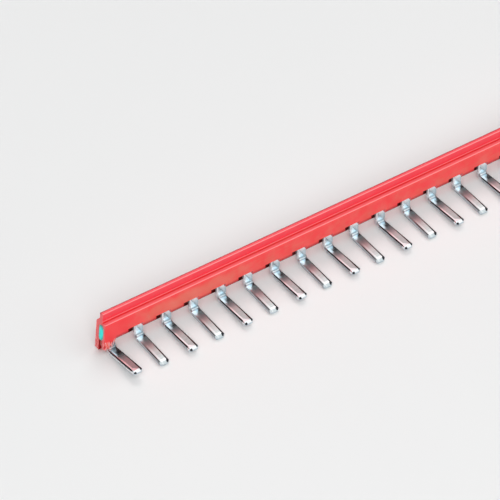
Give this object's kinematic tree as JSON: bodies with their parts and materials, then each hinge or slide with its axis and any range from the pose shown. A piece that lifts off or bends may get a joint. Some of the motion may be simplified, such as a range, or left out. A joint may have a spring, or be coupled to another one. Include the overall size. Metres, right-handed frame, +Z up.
{
  "type": "terminal block jumper bar",
  "caption": "Jumper bar for terminal blocks: a stamped comb of bent, plated contact pins whose spine sits in an extruded red insulating profile, cut to length at one end.",
  "frame": {"origin": "middle of the bar's length and depth, on the plane of the undersides of the level pins", "axes": "+X along the bar away from its cut end, the pins point to -Y, +Z up"},
  "size_m": [0.124, 0.0116, 0.0099],
  "materials": {
    "red_plastic": "satin extruded plastic, stress-whitened where it is torn",
    "plated_metal": "bright plated copper strip",
    "turquoise_lacquer": "dab of glossy lacquer"
  },
  "bodies": {
    "root": {"insulating_profile": "red_plastic", "comb_strip": "plated_metal", "end_seal": "turquoise_lacquer"}
  },
  "joints": []
}
